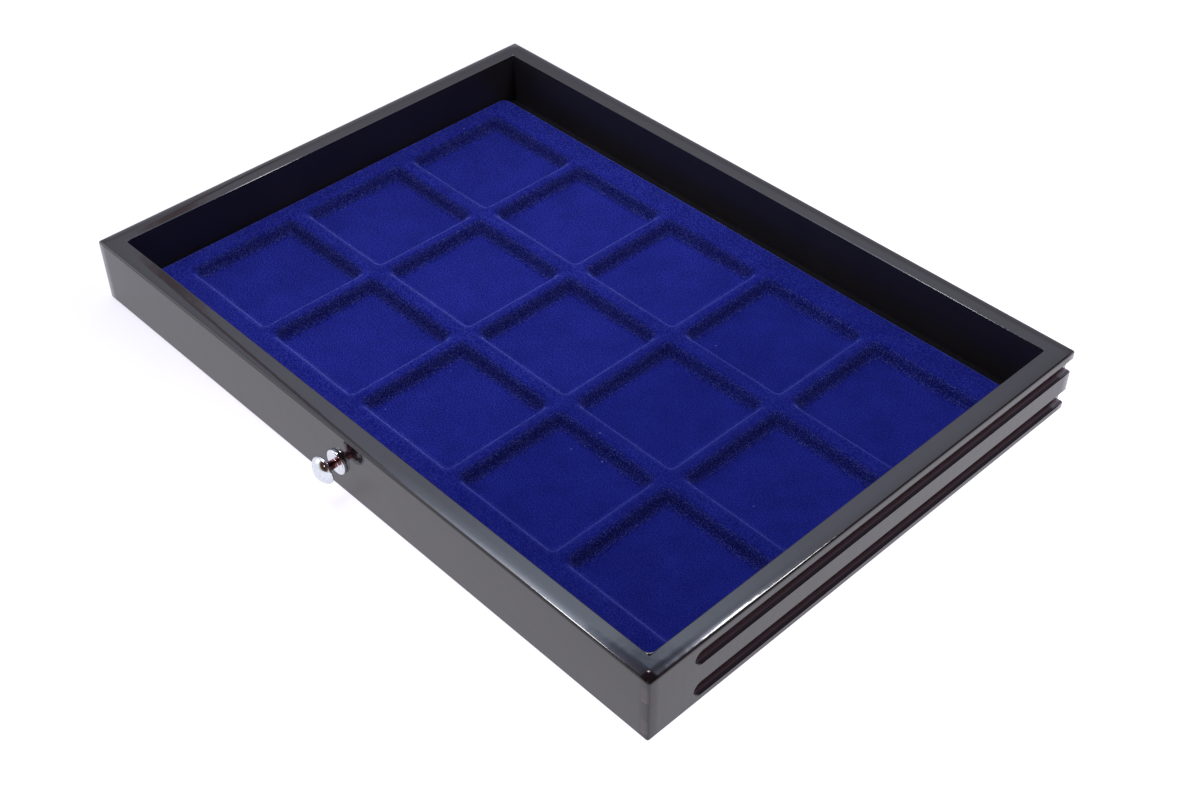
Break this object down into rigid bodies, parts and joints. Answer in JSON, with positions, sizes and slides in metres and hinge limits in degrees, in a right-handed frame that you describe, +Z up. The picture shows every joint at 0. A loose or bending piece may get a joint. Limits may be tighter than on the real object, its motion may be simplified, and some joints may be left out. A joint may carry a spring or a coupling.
{
  "type": "specimen drawer",
  "caption": "Shallow open lacquered wooden drawer with a flocked, thermoformed insert of square compartments, runner grooves in its sides and a small turned knob on its front.",
  "frame": {"origin": "centre of the frame's footprint, level with its lower rim", "axes": "+X along the front from left to right, +Y from the front with the knob to the back, +Z up"},
  "size_m": [0.3, 0.2259, 0.0275],
  "materials": {
    "black_lacquer": "gloss",
    "plywood": "matte",
    "black_board": "satin",
    "blue_flock": "matte",
    "chrome": "gloss",
    "steel": "satin"
  },
  "bodies": {
    "drawer": {"front_panel": "black_lacquer", "back_panel": "black_lacquer", "left_side": "black_lacquer", "right_side": "black_lacquer", "corner_tongues": "plywood", "bottom_panel": "black_board", "cabinet_knob": "chrome", "knob_screw": "steel"},
    "insert": {"flocked_insert": "blue_flock"}
  },
  "joints": [
    {"name": "insert_lift", "type": "slide", "parent": "drawer", "child": "insert", "axis": [0, 0, 1], "range_m": [0, 0.06]}
  ]
}
